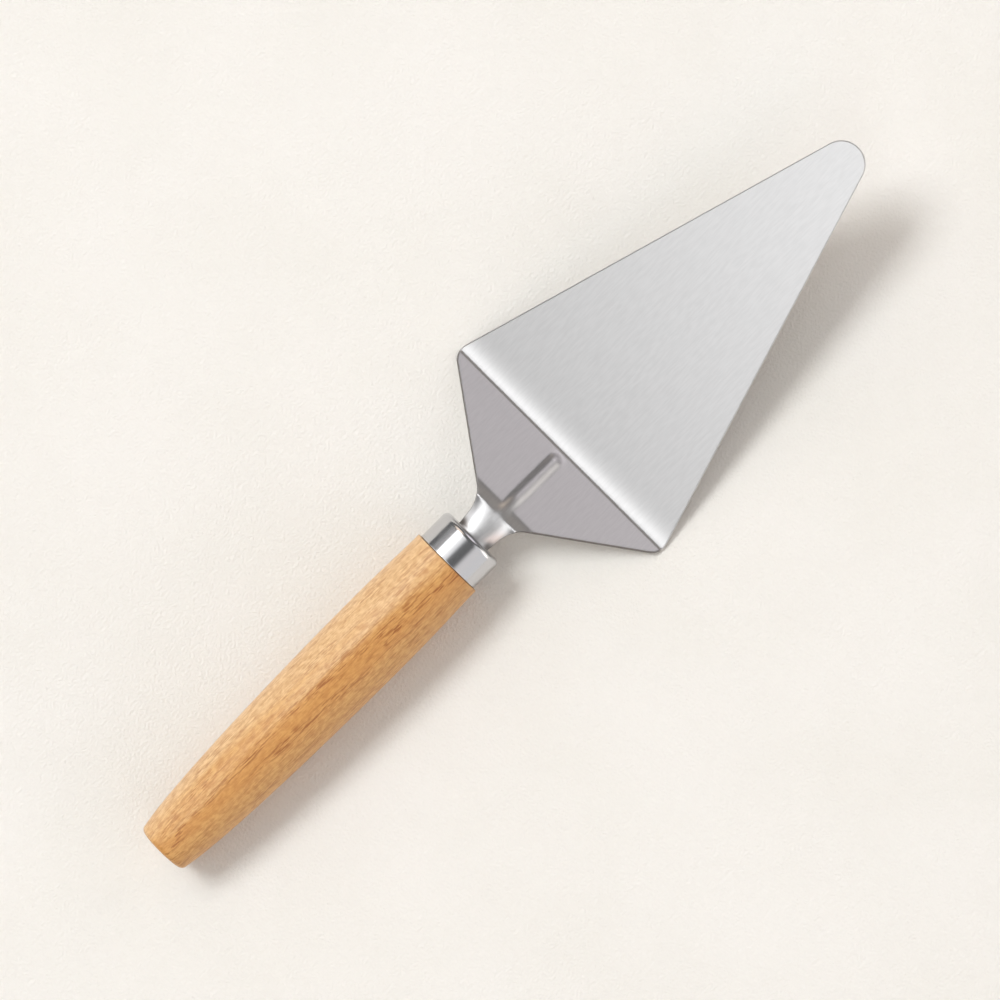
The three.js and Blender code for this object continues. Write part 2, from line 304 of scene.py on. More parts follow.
def streaks(graph: Graph, place: Any, size: Point, detail: float) -> bpy.types.NodeSocket:
    """Draws lines along X.

    Args:
        graph: the material's nodes.
        place: coordinates in millimetres.
        size: the lines' length and width.
        detail: how many finer layers of noise they have.

    Returns:
        Noise from 0 to 1.
    """
    length, width = size
    return graph.group(
        streaks_group(), {"Vector": place, "Length": length, "Width": width, "Detail": detail}
    )


def mottle(graph: Graph, place: Any, size: float, band: Point) -> bpy.types.NodeSocket:
    """Draws soft patches.

    Args:
        graph: the material's nodes.
        place: coordinates in millimetres.
        size: how far apart the patches are.
        band: the noise at which a patch starts, and at which it is full.

    Returns:
        The patches, from 0 to 1.
    """
    low, high = band
    return graph.group(mottle_group(), {"Vector": place, "Size": size, "Low": low, "High": high})


class Finish(ABC):
    """How a surface looks. The material is made on first use.

    Lengths are in millimetres. A size of lines is their length and width, and a band is the noise at
    which a pattern starts and the noise at which it is full.
    """

    title: str

    def material(self) -> bpy.types.Material:
        """Returns the finish's material."""
        found = bpy.data.materials.get(self.title)
        if found is not None:
            return found
        made = bpy.data.materials.new(self.title)
        made.use_nodes = True
        self.paint(Graph(made.node_tree), made.node_tree.nodes["Principled BSDF"])
        return made

    @abstractmethod
    def paint(self, graph: Graph, shader: bpy.types.Node) -> None:
        """Fills in the material.

        Args:
            graph: the material's nodes.
            shader: its Principled BSDF.
        """


def object_millimetres(graph: Graph) -> bpy.types.NodeSocket:
    """Gives a piece's own coordinates in millimetres.

    Args:
        graph: the material's nodes.

    Returns:
        The coordinates.
    """
    place = graph.node("ShaderNodeTexCoord").outputs["Object"]
    return graph.vector("MULTIPLY", place, (1.0 / MILLIMETRE,) * 3)


@dataclass(frozen=True)
class BrushedSteel(Finish):
    """Sheet steel, brushed along the tool, with a darker tone where the blade's mask says so: the cut
    edge as far as the heel, and painted shade on the neck's flanks beside the ferrule.
    """

    title: str = "Brushed steel sheet"
    tone: ScreenRgb = (212, 211, 211)
    shade: ScreenRgb = (205, 204, 204)
    # Darker steel tone for the cut edge and for painted shade on the neck's flanks beside the ferrule.
    edge_and_shade: ScreenRgb = (150, 146, 143)
    roughness: float = 0.295
    roughness_spread: float = 0.02
    edge_and_shade_roughness: float = 0.5
    stretch: float = 0.9
    stretch_turn: float = 0.25
    coarse_size: Point = (6.0, 0.8)
    coarse_detail: float = 2.0
    coarse_share: float = 0.6
    fine_size: Point = (3.0, 0.45)
    fine_detail: float = 1.0
    line_band: Point = (0.3, 0.7)
    relief: float = 0.0002
    smudge_size: float = 18.0
    smudge_band: Point = (0.35, 0.75)
    smudge_roughness: float = 0.005

    def paint(self, graph: Graph, shader: bpy.types.Node) -> None:
        """Fills in the material.

        Args:
            graph: the material's nodes.
            shader: its Principled BSDF.
        """
        sheet = graph.node("ShaderNodeUVMap", uv_map=SHEET_MAP).outputs["UV"]
        tangent = graph.node("ShaderNodeTangent", direction_type="UV_MAP", uv_map=SHEET_MAP)
        # Mask of the darker tone: the cut edge, and painted shade on the neck's flanks beside the
        # ferrule.
        edge_and_shade = graph.node("ShaderNodeAttribute", attribute_name=EDGE_AND_SHADE_MASK).outputs["Fac"]
        coarse = streaks(graph, sheet, self.coarse_size, self.coarse_detail)
        fine = streaks(graph, sheet, self.fine_size, self.fine_detail)
        smudge = mottle(graph, sheet, self.smudge_size, self.smudge_band)
        fine_part = graph.math("MULTIPLY", fine, 1.0 - self.coarse_share)
        mixed = graph.math("MULTIPLY_ADD", coarse, self.coarse_share, fine_part)
        lines = graph.between(mixed, *self.line_band)
        brushed = graph.blend(lines, linear(*self.shade), linear(*self.tone))
        smooth = self.roughness - self.roughness_spread / 2
        rough = graph.math("MULTIPLY_ADD", lines, self.roughness_spread, smooth)
        handled = graph.math("MULTIPLY_ADD", smudge, self.smudge_roughness, rough)
        inputs = {
            "Base Color": graph.blend(edge_and_shade, brushed, linear(*self.edge_and_shade)),
            "Roughness": graph.between(edge_and_shade, 0.0, 1.0, handled, self.edge_and_shade_roughness),
            "Normal": graph.relief(lines, self.relief),
            "Tangent": tangent.outputs["Tangent"],
            "Metallic": 1.0,
            "Anisotropic": self.stretch,
            "Anisotropic Rotation": self.stretch_turn,
        }
        graph.fill(shader, inputs)


@dataclass(frozen=True)
class PolishedSteel(Finish):
    """Drawn steel, buffed round the tool."""

    title: str = "Polished steel"
    tone: ScreenRgb = (203, 203, 205)
    roughness: float = 0.16
    line_size: Point = (7.0, 0.12)
    line_detail: float = 1.0
    relief: float = 0.0004
    smudge_size: float = 6.0
    smudge_band: Point = (0.4, 0.8)
    smudge_roughness: float = 0.06

    def paint(self, graph: Graph, shader: bpy.types.Node) -> None:
        """Fills in the material.

        Args:
            graph: the material's nodes.
            shader: its Principled BSDF.
        """
        place = object_millimetres(graph)
        axes = graph.node("ShaderNodeSeparateXYZ", {0: place}).outputs
        turned = graph.point(axes["Y"], axes["X"], axes["Z"])
        lines = streaks(graph, turned, self.line_size, self.line_detail)
        smudge = mottle(graph, place, self.smudge_size, self.smudge_band)
        inputs = {
            "Base Color": linear(*self.tone),
            "Roughness": graph.math("MULTIPLY_ADD", smudge, self.smudge_roughness, self.roughness),
            "Normal": graph.relief(lines, self.relief),
            "Metallic": 1.0,
        }
        graph.fill(shader, inputs)


@dataclass(frozen=True)
class OiledWood(Finish):
    """Oiled hardwood with its grain along X, honey on one side of the heart and lighter on the other, the
    +Y side that faces the key light: that lighter tone is partly sapwood and partly painted sheen.
    """

    title: str = "Oiled wood"
    # Lighter tone of the +Y side, towards the key light: partly sapwood, partly painted sheen.
    pale_and_sheen: ScreenRgb = (226, 189, 140)
    honey: ScreenRgb = (215, 166, 100)
    heart: ScreenRgb = (202, 141, 70)
    streak: ScreenRgb = (168, 100, 40)
    vein: ScreenRgb = (146, 80, 26)
    slant: Point = (2.0, 1.2)
    detail: float = 2.0
    band_size: Point = (60.0, 5.0)
    sway: float = 12.0
    sap_and_sheen_reach: Point = (-2.0, 5.0)
    heart_place: float = -4.5
    heart_reach: Point = (0.5, 7.0)
    heart_depth: float = 0.6
    figure_size: Point = (2.0, 1.3)
    figure_detail: float = 3.0
    figure_band: Point = (0.36, 0.68)
    figure_depth: float = 0.34
    fibre_size: Point = (1.7, 0.34)
    fibre_band: Point = (0.42, 0.7)
    fibre_depth: float = 0.3
    fibre_roughness: float = 0.1
    cluster_size: Point = (26.0, 2.6)
    cluster_band: Point = (0.4, 0.6)
    streak_size: Point = (4.2, 0.42)
    streak_band: Point = (0.45, 0.62)
    lone_depth: float = 0.1
    cluster_depth: float = 0.3
    heart_cluster_depth: float = 0.5
    streak_groove: float = 1.5
    relief: float = 0.02
    roughness: float = 0.42
    oil: float = 0.25
    oil_roughness: float = 0.35

    def paint(self, graph: Graph, shader: bpy.types.Node) -> None:
        """Fills in the material.

        Args:
            graph: the material's nodes.
            shader: its Principled BSDF.
        """
        place = object_millimetres(graph)
        turn = (0.0, math.radians(self.slant[0]), math.radians(self.slant[1]))
        grain = graph.node("ShaderNodeMapping", {"Vector": place, "Rotation": turn}).outputs["Vector"]

        def drawn(size: Point, band: Point, detail: float = self.detail) -> bpy.types.NodeSocket:
            """Draws lines along the grain, where their noise lies in a band."""
            return graph.between(streaks(graph, grain, size, detail), *band)

        def stain(under: Any, mask: Any, depth: float, tone: ScreenRgb) -> bpy.types.NodeSocket:
            """Stains the colour under a mask."""
            return graph.blend(graph.math("MULTIPLY", mask, depth), under, linear(*tone))

        wander = graph.math("SUBTRACT", streaks(graph, grain, self.band_size, self.detail), 0.5)
        across = graph.node("ShaderNodeSeparateXYZ", {0: grain}).outputs["Y"]
        swayed = graph.math("MULTIPLY_ADD", wander, self.sway, across)
        away = graph.math("ABSOLUTE", graph.math("SUBTRACT", swayed, self.heart_place))
        # Share of the lighter tone on the +Y side, towards the key light: sapwood and painted sheen.
        sap_and_sheen = graph.between(swayed, *self.sap_and_sheen_reach)
        heart = graph.between(away, *self.heart_reach, 1.0, 0.0)
        figure = drawn(self.figure_size, self.figure_band, self.figure_detail)
        cluster = drawn(self.cluster_size, self.cluster_band)
        streak = drawn(self.streak_size, self.streak_band)
        fibre = drawn(self.fibre_size, self.fibre_band)
        colour = graph.blend(sap_and_sheen, linear(*self.honey), linear(*self.pale_and_sheen))
        colour = stain(colour, heart, self.heart_depth, self.heart)
        colour = stain(colour, figure, self.figure_depth, self.streak)
        colour = stain(colour, fibre, self.fibre_depth, self.streak)
        gathering = graph.math("MULTIPLY_ADD", heart, self.heart_cluster_depth, self.cluster_depth)
        gathered = graph.math("MULTIPLY", cluster, gathering)
        lined = graph.math("MULTIPLY", streak, graph.math("ADD", gathered, self.lone_depth))
        level = graph.math("SUBTRACT", 1.0, fibre)
        height = graph.math("MULTIPLY_ADD", lined, -self.streak_groove, level)
        inputs = {
            "Base Color": stain(colour, lined, 1.0, self.vein),
            "Roughness": graph.math("MULTIPLY_ADD", fibre, self.fibre_roughness, self.roughness),
            "Normal": graph.relief(height, self.relief),
            "Coat Weight": self.oil,
            "Coat Roughness": self.oil_roughness,
        }
        graph.fill(shader, inputs)


@dataclass(frozen=True)
class CuredGlue(Finish):
    """Clear two-part glue, gone a little amber, with small bubbles."""

    title: str = "Cured glue"
    tone: ScreenRgb = (190, 172, 128)
    shade: ScreenRgb = (160, 138, 92)
    roughness: float = 0.25
    bubble_size: float = 0.8
    bubble_band: Point = (0.45, 0.7)
    bubble_roughness: float = 0.2

    def paint(self, graph: Graph, shader: bpy.types.Node) -> None:
        """Fills in the material.

        Args:
            graph: the material's nodes.
            shader: its Principled BSDF.
        """
        bubbles = mottle(graph, object_millimetres(graph), self.bubble_size, self.bubble_band)
        inputs = {
            "Base Color": graph.blend(bubbles, linear(*self.tone), linear(*self.shade)),
            "Roughness": graph.math("MULTIPLY_ADD", bubbles, self.bubble_roughness, self.roughness),
        }
        graph.fill(shader, inputs)


@dataclass(frozen=True)
class Plaster(Finish):
    """The table's pale plaster."""

    title: str = "Pale plaster"
    tone: ScreenRgb = (233, 229, 223)
    shade: ScreenRgb = (230, 226, 219)
    cloud_size: float = 60.0
    cloud_band: Point = (0.3, 0.7)
    grit_size: float = 0.8
    grit_band: Point = (0.2, 0.8)
    relief: float = 0.14
    roughness: float = 0.9
    gloss: float = 0.2

    def paint(self, graph: Graph, shader: bpy.types.Node) -> None:
        """Fills in the material.

        Args:
            graph: the material's nodes.
            shader: its Principled BSDF.
        """
        place = object_millimetres(graph)
        cloud = mottle(graph, place, self.cloud_size, self.cloud_band)
        grit = mottle(graph, place, self.grit_size, self.grit_band)
        inputs = {
            "Base Color": graph.blend(cloud, linear(*self.tone), linear(*self.shade)),
            "Roughness": self.roughness,
            "Normal": graph.relief(grit, self.relief),
            "Specular IOR Level": self.gloss,
        }
        graph.fill(shader, inputs)


def new_piece(name: str, points: np.ndarray, faces: Sequence[Sequence[int]]) -> bpy.types.Object:
    """Makes a mesh object and puts it in the scene.

    Args:
        name: the piece's name.
        points: its vertices, one row each.
        faces: the vertices of each face, anticlockwise from outside.

    Returns:
        The object.
    """
    mesh = bpy.data.meshes.new(name)
    mesh.from_pydata(points.tolist(), [], faces)
    piece = bpy.data.objects.new(name, mesh)
    bpy.context.scene.collection.objects.link(piece)
    return piece


def band_faces(first: np.ndarray, second: np.ndarray, closed: bool) -> list[tuple[int, int, int, int]]:
    """Joins two rows of vertices with quads.

    Args:
        first: the vertices of one row.
        second: the vertices of the next row.
        closed: whether the last vertex joins on to the first.

    Returns:
        The quads.
    """
    if closed:
        first = np.append(first, first[0])
        second = np.append(second, second[0])
    corners = (first[:-1], second[:-1], second[1:], first[1:])
    return list(zip(*(row.tolist() for row in corners)))


@dataclass(frozen=True)
class Fit:
    """Sizes that the pieces share where they meet, in millimetres and degrees."""

    gap: float = 0.3
    sheet: float = 1.0
    glue_line: float = 0.3
    neck_width: float = 11.0
    neck_roll: float = 50.0
    ferrule_wall: float = 0.7

    @property
    def half_arch(self) -> float:
        """Half the angle of the neck's arch, in radians."""
        return math.radians(self.neck_roll)

    @property
    def neck_radius(self) -> float:
        """Radius of the arched neck, at the middle of its sheet."""
        return self.neck_width / 2 / math.sin(self.half_arch) - self.sheet / 2

    @property
    def neck_centre(self) -> float:
        """Height of the arch's centre of curvature, which puts its crown on the handle's axis."""
        return -self.neck_radius

    @property
    def neck_feet(self) -> float:
        """Height of the arch's feet over the handle's axis."""
        return self.neck_centre + (self.neck_radius - self.sheet / 2) * math.cos(self.half_arch)


@dataclass(frozen=True)
class Blade:
    """The stamped sheet: blade, riser, neck and tang. Lengths are in millimetres, angles in degrees.

    A place on the sheet is its length along the middle, from the ferrule's front, and its place across.
    The rib's sides are its reaches from its own middle, towards -Y and towards +Y. The cut edge takes a
    darker tone as far as the heel. The neck's flanks beside the ferrule take it too, as painted shade,
    which comes in over flank_shade_roll across the sheet and fades over flank_shade_run along it.
    """

    fit: Fit
    length: float = 118.0
    heel_width: float = 79.8
    corner_radius: float = 5.2
    corner_lead: float = 0.9
    tip_radius: float = 6.5
    blade_angle: float = 15.2
    heel_radius: float = 1.6
    ease_length: float = 8.0
    ease_angle: float = 11.0
    ease_fade: float = 0.6
    riser_length: float = 26.0
    riser_angle: float = 28.0
    crank_radius: float = 8.5
    rib_sides: Point = (3.4, 2.5)
    rib_middle: float = -0.7
    rib_height: float = 0.75
    rib_end_run: float = 3.4
    rib_fade: float = 8.0
    rib_heel_gap: float = 0.3
    neck_length: float = 10.5
    neck_round_run: float = 0.5
    unroll_run: float = 8.5
    flare_radius: float = 9.0
    flare_lead: float = 2.5
    tang_length: float = 46.0
    tang_width: float = 9.0
    shoulder_run: float = 5.0
    edge_round: float = 0.2
    # Where painted shade covers the neck's flanks beside the ferrule: across the sheet, then along it.
    flank_shade_roll: Point = (3.0, 4.8)
    flank_shade_run: Point = (0.6, 3.4)
    finish: Finish = field(default_factory=BrushedSteel)

    ARC_STEPS = 14
    EASE_RUNS = 8
    BEND_STEPS = 16
    RUN_STEPS = 24
    EDGE_STEPS = 3
    RIB_COLUMNS = 14
    FLANK_COLUMNS = 18
    LEAST_STEP = 0.03
    SLOPE_STEP = 0.01

    @cached_property
    def runs(self) -> list[Point]:
        """Side view of the sheet, from ferrule to tip: each run's length and its turn in radians."""
        crank_turn = math.radians(self.riser_angle)
        ease_turn = math.radians(self.ease_angle)
        heel_turn = math.radians(self.riser_angle + self.blade_angle) - ease_turn
        crank_radius = self.crank_radius + self.fit.sheet / 2
        heel_radius = self.heel_radius + self.fit.sheet / 2
        crank_reach = crank_radius * math.tan(crank_turn / 2)
        heel_reach = heel_radius * math.tan(heel_turn / 2)
        settling = self.ease_fade ** np.arange(self.EASE_RUNS)
        settling /= settling.sum()
        return [
            (self.neck_length - crank_reach, 0.0),
            (crank_radius * crank_turn, -crank_turn),
            (self.riser_length - crank_reach - heel_reach, 0.0),
            (heel_radius * heel_turn, heel_turn),
            *((self.ease_length / self.EASE_RUNS, ease_turn * share) for share in settling),
            (self.length - heel_reach - self.ease_length, 0.0),
        ]

    @cached_property
    def marks(self) -> np.ndarray:
        """Where the runs meet: crank's start and end, heel's start and end, ease's end and the tip."""
        ends = np.cumsum([length for length, _ in self.runs])
        return np.append(ends[:4], ends[-2:])

    @property
    def neck_half(self) -> float:
        """Half the flat width of the neck."""
        return self.fit.neck_radius * self.fit.half_arch

    @property
    def tang_end(self) -> float:
        """Where the tang ends."""
        return -self.fit.ferrule_wall - self.tang_length

    @property
    def shoulder_front(self) -> float:
        """Where the neck starts to narrow into the tang."""
        return -self.fit.ferrule_wall - self.fit.gap

    @property
    def shoulder_back(self) -> float:
        """Where the tang has its own width."""
        return self.shoulder_front - self.shoulder_run

    @property
    def rib_end(self) -> float:
        """Where the rib has run out, short of the heel."""
        return self.marks[2] - self.rib_heel_gap

    def side_at(self, along: np.ndarray) -> tuple[np.ndarray, np.ndarray, np.ndarray]:
        """Finds the middle of the sheet in side view.

        Args:
            along: lengths along the sheet.

        Returns:
            x, z and the heading in radians.
        """
        x = np.minimum(along, 0.0)
        z = np.zeros_like(x)
        heading = np.zeros_like(x)
        left = np.maximum(along, 0.0)
        for length, turn in self.runs:
            step = np.minimum(left, length)
            turned = turn * step / length
            chord = step * np.sinc(turned / math.tau)
            x = x + chord * np.cos(heading + turned / 2)
            z = z + chord * np.sin(heading + turned / 2)
            heading = heading + turned
            left = left - step
        return x, z, heading

    def rounded_corner(
        self, before: Vector, corner: Vector, after: Vector, radius: float
    ) -> list[Vector]:
        """Rounds a corner of the blank's outline.

        Args:
            before: the point before the corner.
            corner: the sharp corner.
            after: the point after it.
            radius: the round's radius.

        Returns:
            Points of the arc, in order.
        """
        back = (before - corner).normalized()
        onward = (after - corner).normalized()
        half_angle = back.angle(onward) / 2
        centre = corner + (back + onward).normalized() * (radius / math.sin(half_angle))
        reach = radius / math.tan(half_angle)
        start = corner + back * reach - centre
        end = corner + onward * reach - centre
        shares = np.linspace(0.0, 1.0, self.ARC_STEPS + 1)
        return [centre + start.slerp(end, share) * radius for share in shares]

    @cached_property
    def outline(self) -> np.ndarray:
        """Half of the flat blank's outline, from the tang to the tip: length along, half width."""
        _, _, heel_start, heel_end, _, tip = self.marks
        crank_middle = (self.marks[0] + self.marks[1]) / 2
        heel_middle = (heel_start + heel_end) / 2
        shoulder = Vector((self.shoulder_front, self.neck_half))
        flare = Vector((crank_middle - self.flare_lead, self.neck_half))
        heel = Vector((heel_middle - self.corner_lead, self.heel_width / 2))
        tip_centre = Vector((tip - self.tip_radius, 0.0))
        to_tip = tip_centre - heel
        edge_angle = math.atan2(to_tip.y, to_tip.x) + math.asin(self.tip_radius / to_tip.length)
        edge_length = math.sqrt(to_tip.length_squared - self.tip_radius**2)
        edge_end = heel + Vector((math.cos(edge_angle), math.sin(edge_angle))) * edge_length
        tip_angles = np.linspace(edge_angle + math.pi / 2, 0.0, 2 * self.ARC_STEPS, endpoint=False)
        tip_arc = [tip_centre + Vector((math.cos(a), math.sin(a))) * self.tip_radius for a in tip_angles]
        points = [
            Vector((self.tang_end, self.tang_width / 2)),
            Vector((self.shoulder_back, self.tang_width / 2)),
            shoulder,
            *self.rounded_corner(shoulder, flare, heel, self.flare_radius),
            *self.rounded_corner(flare, heel, edge_end, self.corner_radius),
            *tip_arc,
        ]
        return np.array(points)

    def half_width_at(self, along: np.ndarray) -> np.ndarray:
        """Returns half the blank's width at lengths along it."""
        return np.interp(along, self.outline[:, 0], self.outline[:, 1])

    def curl_at(self, along: np.ndarray) -> np.ndarray:
        """Returns how tightly the sheet is rolled: an arch in tang and neck, then flat."""
        unrolled = np.clip((along - self.neck_round_run) / self.unroll_run, 0.0, 1.0)
        return (1.0 - unrolled) / self.fit.neck_radius

    def rib_at(self, along: np.ndarray, across: np.ndarray) -> np.ndarray:
        """Finds how high the pressed rib stands. Its middle is off the axis, and its -Y side is wider.

        Args:
            along: lengths along the sheet.
            across: places across it.

        Returns:
            The heights.
        """
        rib_start = self.marks[0]
        begins = smoothstep(along, rib_start, rib_start + self.rib_fade)
        ends = 1.0 - smoothstep(along, self.rib_end - self.rib_end_run, self.rib_end)
        aside = across - self.rib_middle
        side = np.where(aside < 0.0, *self.rib_sides)
        share = np.minimum(np.abs(aside) / side, 1.0)
        return self.rib_height * begins * ends * (1.0 - share**2) ** 3

    def middle_at(self, along: np.ndarray, across: np.ndarray) -> np.ndarray:
        """Finds points on the middle of the sheet's thickness.

        Args:
            along: lengths along the sheet.
            across: places across it.

        Returns:
            The points, with x, y and z last.
        """
        x, z, heading = self.side_at(along)
        curl = self.curl_at(along)
        fall = across * np.sin(curl * across / 2) * np.sinc(curl * across / math.tau)
        height = self.rib_at(along, across) - fall
        sideways = across * np.sinc(curl * across / math.pi)
        return np.stack((x - height * np.sin(heading), sideways, z + height * np.cos(heading)), axis=-1)

    def surface_at(self, along: np.ndarray, across: np.ndarray, height: np.ndarray) -> np.ndarray:
        """Finds points at a height over the middle of the sheet.

        Args:
            along: lengths along the sheet.
            across: places across it.
            height: heights along the sheet's normal.

        Returns:
            The points, with x, y and z last.
        """
        step = self.SLOPE_STEP
        ahead = self.middle_at(along + step, across) - self.middle_at(along - step, across)
        aside = self.middle_at(along, across + step) - self.middle_at(along, across - step)
        normal = np.cross(ahead, aside)
        normal /= np.linalg.norm(normal, axis=-1, keepdims=True)
        return self.middle_at(along, across) + normal * np.asarray(height)[..., None]

    @cached_property
    def stations(self) -> np.ndarray:
        """Lengths along the sheet at which it is drawn, close together where it bends."""
        crank_start, crank_end, heel_start, heel_end, ease_end, _ = self.marks
        unrolled = self.neck_round_run + self.unroll_run
        wanted = np.concatenate(
            (
                self.outline[:, 0],
                np.linspace(crank_start, crank_end, self.BEND_STEPS),
                np.linspace(heel_start, heel_end, self.BEND_STEPS),
                np.linspace(heel_end, ease_end, 2 * self.BEND_STEPS),
                np.linspace(crank_end, heel_start, self.RUN_STEPS),
                np.linspace(self.rib_end - self.rib_end_run, self.rib_end, self.BEND_STEPS),
                np.linspace(self.shoulder_front, unrolled, 2 * self.RUN_STEPS),
            )
        )
        ordered = np.sort(wanted)
        return ordered[np.concatenate(([True], np.diff(ordered) > self.LEAST_STEP))]

    def columns_within(self, half: np.ndarray) -> np.ndarray:
        """Spreads places across the sheet: close over the rib and at the edge, even between.

        Args:
            half: half widths, one for each row.

        Returns:
            Places across, a row for each half width.
        """
        rib = np.minimum(self.rib_sides[0] - self.rib_middle, half / 2)[:, None]
        edge = half[:, None]
        inner = rib * np.linspace(0.0, 1.0, self.RIB_COLUMNS)
        flank = np.linspace(0.0, 1.0, self.FLANK_COLUMNS)[1:]
        outer = rib + (edge - rib) * flank
        last = outer[:, -2:-1]
        rim = np.maximum(edge - self.edge_round, (last + edge) / 2)
        outer = np.insert(outer, -1, rim[:, 0], axis=1)
        right = np.concatenate((inner, outer), axis=1)
        return np.concatenate((-right[:, :0:-1], right), axis=1)

    def build(self) -> bpy.types.Object:
        """Draws the sheet as one closed skin with rounded edges.

        Returns:
            The piece, in the tool's frame.
        """
        rim = np.stack((self.stations, self.half_width_at(self.stations)), axis=1)
        steps = np.linalg.norm(np.diff(rim, axis=0), axis=1)
        way = np.gradient(rim, np.concatenate(([0.0], np.cumsum(steps))), axis=0)
        way /= np.linalg.norm(way, axis=1, keepdims=True)
        outward = np.stack((-way[:, 1], way[:, 0]), axis=1)
        inset = rim - outward * self.edge_round
        inset[0, 0] += self.edge_round
        across = self.columns_within(inset[:, 1])
        along = np.broadcast_to(inset[:, :1], across.shape)
        rows, columns = across.shape
        half_sheet = self.fit.sheet / 2

        index = np.arange(rows * columns).reshape(rows, columns)
        loop = np.concatenate((index[:-1, 0], index[-1, :-1], index[:0:-1, -1], index[0, :0:-1]))
        left_out = outward * (1.0, -1.0)
        tip_out = np.tile((1.0, 0.0), (columns - 2, 1))
        loop_out = np.concatenate((left_out, tip_out, outward[::-1], -tip_out))
        flat = np.stack((along, across), axis=-1).reshape(-1, 2)
        heights = [np.full(len(flat), half_sheet), np.full(len(flat), -half_sheet)]
        places = [flat, flat]
        turns = np.linspace(0.0, math.pi / 2, self.EDGE_STEPS + 1)[1:]
        rings = [(turn, 1.0) for turn in turns] + [(turn, -1.0) for turn in turns[::-1]]
        for turn, side in rings:
            places.append(flat[loop] + loop_out * self.edge_round * math.sin(turn))
            level = half_sheet - self.edge_round * (1.0 - math.cos(turn))
            heights.append(np.full(len(loop), side * level))
        place = np.concatenate(places)
        points = self.surface_at(place[:, 0], place[:, 1], np.concatenate(heights))

        faces: list[Sequence[int]] = []
        below = rows * columns
        cut = 2 * below
        for row in range(rows - 1):
            faces += band_faces(index[row], index[row + 1], closed=False)
            faces += band_faces(index[row + 1] + below, index[row] + below, closed=False)
        edges = [loop]
        edges += [cut + np.arange(len(loop)) + ring * len(loop) for ring in range(len(rings))]
        edges.append(loop + below)
        for first, second in zip(edges, edges[1:]):
            faces += band_faces(second, first, closed=True)
        piece = new_piece("brushed_blade", points, faces)
        spread = piece.data.uv_layers.new(name=SHEET_MAP)
        corners = np.empty(len(piece.data.loops), np.int32)
        piece.data.loops.foreach_get("vertex_index", corners)
        spread.data.foreach_set("uv", place[corners].astype(np.float32).ravel())
        # The darker tone: painted shade on the neck's flanks beside the ferrule, and on the edge rings
        # the cut edge up to the heel.
        edge_and_shade = smoothstep(np.abs(place[:, 1]), *self.flank_shade_roll)
        edge_and_shade *= 1.0 - smoothstep(place[:, 0], *self.flank_shade_run)
        edge_and_shade[cut:] = 1.0 - smoothstep(place[cut:, 0], *self.marks[2:4])
        mask = piece.data.attributes.new(EDGE_AND_SHADE_MASK, "FLOAT", "POINT")
        mask.data.foreach_set("value", edge_and_shade.astype(np.float32))
        piece.data.shade_smooth()
        return piece

    def dress(self, piece: bpy.types.Object) -> None:
        """Gives the piece its finish."""
        piece.data.materials.append(self.finish.material())


